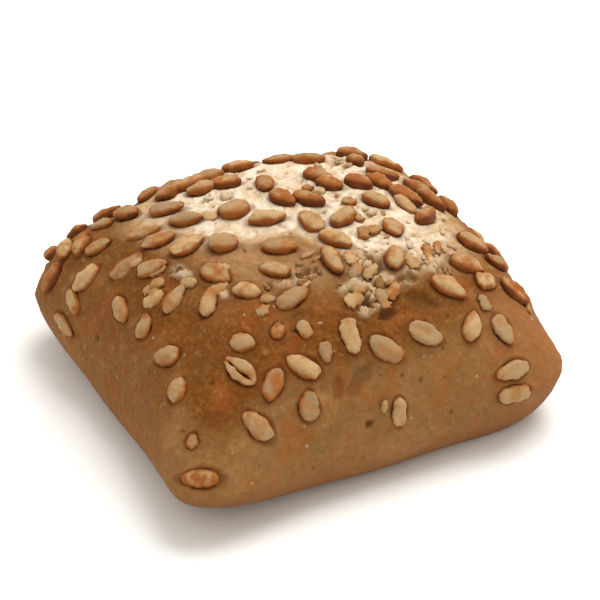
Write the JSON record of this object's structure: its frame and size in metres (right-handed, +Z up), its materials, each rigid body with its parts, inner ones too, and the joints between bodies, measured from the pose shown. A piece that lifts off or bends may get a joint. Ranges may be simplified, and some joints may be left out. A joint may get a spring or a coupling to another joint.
{
  "type": "bread roll",
  "caption": "Square pillow-shaped bread roll with a domed crust, drawn-out corners and sunflower kernels pressed into it",
  "frame": {"origin": "under the middle of the whole roll, on the surface that its flat base stands on", "axes": "+Z up; the four side faces look along +X, -X, +Y and -Y, so the corners are on the diagonals"},
  "size_m": [0.1044, 0.0994, 0.0455],
  "materials": {
    "crust": "matt baked crust, floury and pale on the crown, tan on the sides",
    "kernel": "satin toasted kernel, brown at the tip"
  },
  "bodies": {
    "root": {"loaf": "crust", "kernel_01": "kernel", "kernel_02": "kernel", "kernel_03": "kernel", "kernel_04": "kernel", "kernel_05": "kernel", "kernel_06": "kernel", "kernel_07": "kernel", "kernel_08": "kernel", "kernel_09": "kernel", "kernel_10": "kernel", "kernel_11": "kernel", "kernel_12": "kernel", "kernel_13": "kernel", "kernel_14": "kernel", "kernel_15": "kernel", "kernel_16": "kernel", "kernel_17": "kernel", "kernel_18": "kernel", "kernel_19": "kernel", "kernel_20": "kernel", "kernel_21": "kernel", "kernel_22": "kernel", "kernel_23": "kernel", "kernel_24": "kernel", "kernel_25": "kernel", "kernel_26": "kernel", "kernel_27": "kernel", "kernel_28": "kernel", "kernel_29": "kernel", "kernel_30": "kernel", "kernel_31": "kernel", "kernel_32": "kernel", "kernel_33": "kernel", "kernel_34": "kernel", "kernel_35": "kernel", "kernel_36": "kernel", "kernel_37": "kernel", "kernel_38": "kernel", "kernel_39": "kernel", "kernel_40": "kernel", "kernel_41": "kernel", "kernel_42": "kernel", "kernel_43": "kernel", "kernel_44": "kernel", "kernel_45": "kernel", "kernel_46": "kernel", "kernel_47": "kernel", "kernel_48": "kernel", "kernel_49": "kernel", "kernel_50": "kernel", "kernel_51": "kernel", "kernel_52": "kernel", "kernel_53": "kernel", "kernel_54": "kernel", "kernel_55": "kernel", "kernel_56": "kernel", "kernel_57": "kernel", "kernel_58": "kernel", "kernel_59": "kernel"}
  },
  "joints": []
}
